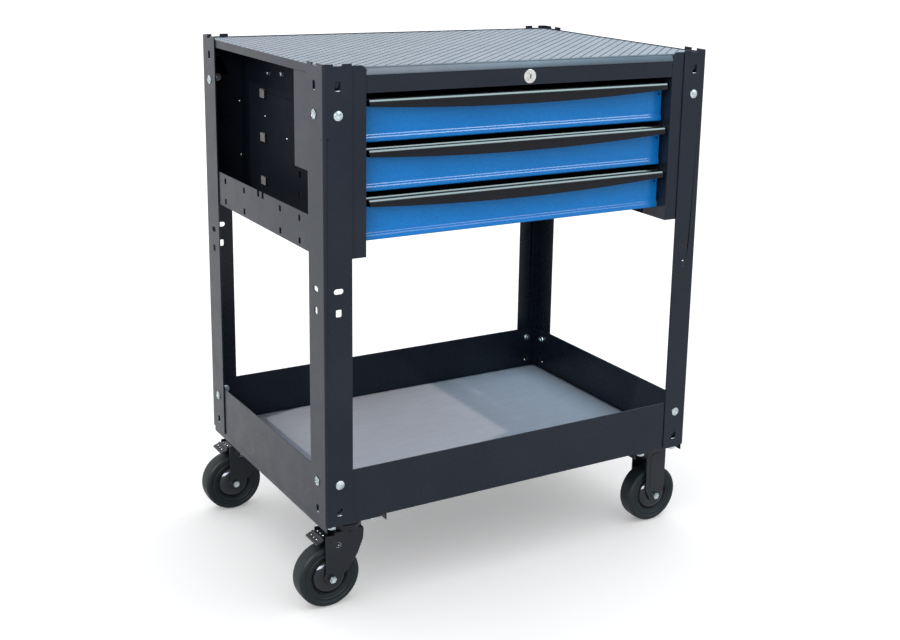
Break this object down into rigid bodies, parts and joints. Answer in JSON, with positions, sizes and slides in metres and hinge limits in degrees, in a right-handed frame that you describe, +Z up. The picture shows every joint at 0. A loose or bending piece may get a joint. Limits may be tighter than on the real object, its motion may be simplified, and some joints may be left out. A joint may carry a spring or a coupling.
{
  "type": "rolling tool chest",
  "caption": "Rolling tool cart: drawer cabinet with finger pulls and a lock above an open lower tray, on angle posts with swivel and rigid casters.",
  "frame": {"origin": "on the floor, below the middle of the bounding box", "axes": "+Z up, -Y towards the drawer fronts, +X to the right seen from the front, where the rigid casters are"},
  "size_m": [0.72, 0.4814, 0.83],
  "materials": {
    "black_paint": "smooth gloss powder coat",
    "drawer_paint": "satin powder coat",
    "blue_paint": "smooth gloss powder coat",
    "gloss_pull": "high gloss",
    "top_mat": "matt with fine crossed grooves",
    "tray_mat": "matt, fine grained",
    "zinc": "bright zinc plate",
    "slide_steel": "zinc plated steel",
    "lock_chrome": "bright nickel",
    "caster_paint": "semi-gloss electro coat",
    "wheel_hub": "gloss",
    "tyre": "matt grey rubber"
  },
  "bodies": {
    "frame": {"post_front_left": "black_paint", "post_front_right": "black_paint", "post_back_left": "black_paint", "post_back_right": "black_paint", "lower_tray": "black_paint", "tray_mat": "tray_mat", "caster_beams": "black_paint", "post_fasteners": "zinc", "caster_bolts": "zinc", "column_front_left": "black_paint", "column_front_right": "black_paint", "columns_rear": "black_paint", "cabinet_side_left": "black_paint", "cabinet_side_right": "black_paint", "cabinet_back": "black_paint", "top_panel": "black_paint", "top_mat": "top_mat", "fascia": "black_paint", "side_rail_left": "black_paint", "side_rail_right": "black_paint", "slides_outer": "slide_steel", "lock_housing": "lock_chrome", "swivel_plate_front": "caster_paint", "swivel_plate_back": "caster_paint", "fork_front_right": "caster_paint", "fork_back_right": "caster_paint", "rigid_axles": "zinc"},
    "drawer_1": {"drawer_box_1": "drawer_paint", "drawer_front_1": "blue_paint", "drawer_pull_1": "gloss_pull", "slides_inner_1": "slide_steel"},
    "slide_1": {"slides_middle_1": "slide_steel"},
    "drawer_2": {"drawer_box_2": "drawer_paint", "drawer_front_2": "blue_paint", "drawer_pull_2": "gloss_pull", "slides_inner_2": "slide_steel"},
    "slide_2": {"slides_middle_2": "slide_steel"},
    "drawer_3": {"drawer_box_3": "drawer_paint", "drawer_front_3": "blue_paint", "drawer_pull_3": "gloss_pull", "slides_inner_3": "slide_steel"},
    "slide_3": {"slides_middle_3": "slide_steel"},
    "lock": {"lock_cylinder": "lock_chrome", "lock_rod": "slide_steel"},
    "locking_bar": {"lock_bar": "slide_steel"},
    "swivel_front": {"yoke_front_left": "caster_paint", "axle_front_left": "zinc"},
    "brake_front": {"brake_pedal_front": "caster_paint"},
    "wheel_front_left": {"hub_front_left": "wheel_hub", "tyre_front_left": "tyre"},
    "wheel_front_right": {"hub_front_right": "wheel_hub", "tyre_front_right": "tyre"},
    "swivel_back": {"yoke_back_left": "caster_paint", "axle_back_left": "zinc"},
    "brake_back": {"brake_pedal_back": "caster_paint"},
    "wheel_back_left": {"hub_back_left": "wheel_hub", "tyre_back_left": "tyre"},
    "wheel_back_right": {"hub_back_right": "wheel_hub", "tyre_back_right": "tyre"}
  },
  "joints": [
    {"name": "drawer_1_slide", "type": "slide", "parent": "frame", "child": "drawer_1", "axis": [0, -1, 0], "range_m": [0, 0.38]},
    {"name": "slide_1_travel", "type": "slide", "parent": "frame", "child": "slide_1", "axis": [0, -1, 0], "range_m": [0, 0.19]},
    {"name": "drawer_2_slide", "type": "slide", "parent": "frame", "child": "drawer_2", "axis": [0, -1, 0], "range_m": [0, 0.38]},
    {"name": "slide_2_travel", "type": "slide", "parent": "frame", "child": "slide_2", "axis": [0, -1, 0], "range_m": [0, 0.19]},
    {"name": "drawer_3_slide", "type": "slide", "parent": "frame", "child": "drawer_3", "axis": [0, -1, 0], "range_m": [0, 0.38]},
    {"name": "slide_3_travel", "type": "slide", "parent": "frame", "child": "slide_3", "axis": [0, -1, 0], "range_m": [0, 0.19]},
    {"name": "lock_turn", "type": "hinge", "parent": "frame", "child": "lock", "pos_m": [0.014, -0.2349, 0.8], "axis": [0, 1, 0], "range_deg": [0, 90]},
    {"name": "locking_bar_lift", "type": "slide", "parent": "frame", "child": "locking_bar", "axis": [0, 0, 1], "range_m": [0, 0.01132]},
    {"name": "swivel_front_turn", "type": "hinge", "parent": "frame", "child": "swivel_front", "pos_m": [-0.277, -0.1995, 0.13], "axis": [0, 0, 1], "continuous": true},
    {"name": "brake_front_press", "type": "hinge", "parent": "swivel_front", "child": "brake_front", "pos_m": [-0.303, -0.1995, 0.105], "axis": [0, -1, 0], "range_deg": [0, 10]},
    {"name": "wheel_front_left_spin", "type": "hinge", "parent": "swivel_front", "child": "wheel_front_left", "pos_m": [-0.31, -0.1995, 0.05], "axis": [0, 1, 0], "continuous": true},
    {"name": "wheel_front_right_spin", "type": "hinge", "parent": "frame", "child": "wheel_front_right", "pos_m": [0.31, -0.1995, 0.05], "axis": [0, 1, 0], "continuous": true},
    {"name": "swivel_back_turn", "type": "hinge", "parent": "frame", "child": "swivel_back", "pos_m": [-0.277, 0.1995, 0.13], "axis": [0, 0, 1], "continuous": true},
    {"name": "brake_back_press", "type": "hinge", "parent": "swivel_back", "child": "brake_back", "pos_m": [-0.303, 0.1995, 0.105], "axis": [0, -1, 0], "range_deg": [0, 10]},
    {"name": "wheel_back_left_spin", "type": "hinge", "parent": "swivel_back", "child": "wheel_back_left", "pos_m": [-0.31, 0.1995, 0.05], "axis": [0, 1, 0], "continuous": true},
    {"name": "wheel_back_right_spin", "type": "hinge", "parent": "frame", "child": "wheel_back_right", "pos_m": [0.31, 0.1995, 0.05], "axis": [0, 1, 0], "continuous": true}
  ],
  "couplings": [
    {"joint": "slide_1_travel", "follows": "drawer_1_slide", "ratio": 0.5},
    {"joint": "slide_2_travel", "follows": "drawer_2_slide", "ratio": 0.5},
    {"joint": "slide_3_travel", "follows": "drawer_3_slide", "ratio": 0.5},
    {"joint": "lock_turn", "follows": "locking_bar_lift", "rad_per_m": 138.76}
  ]
}
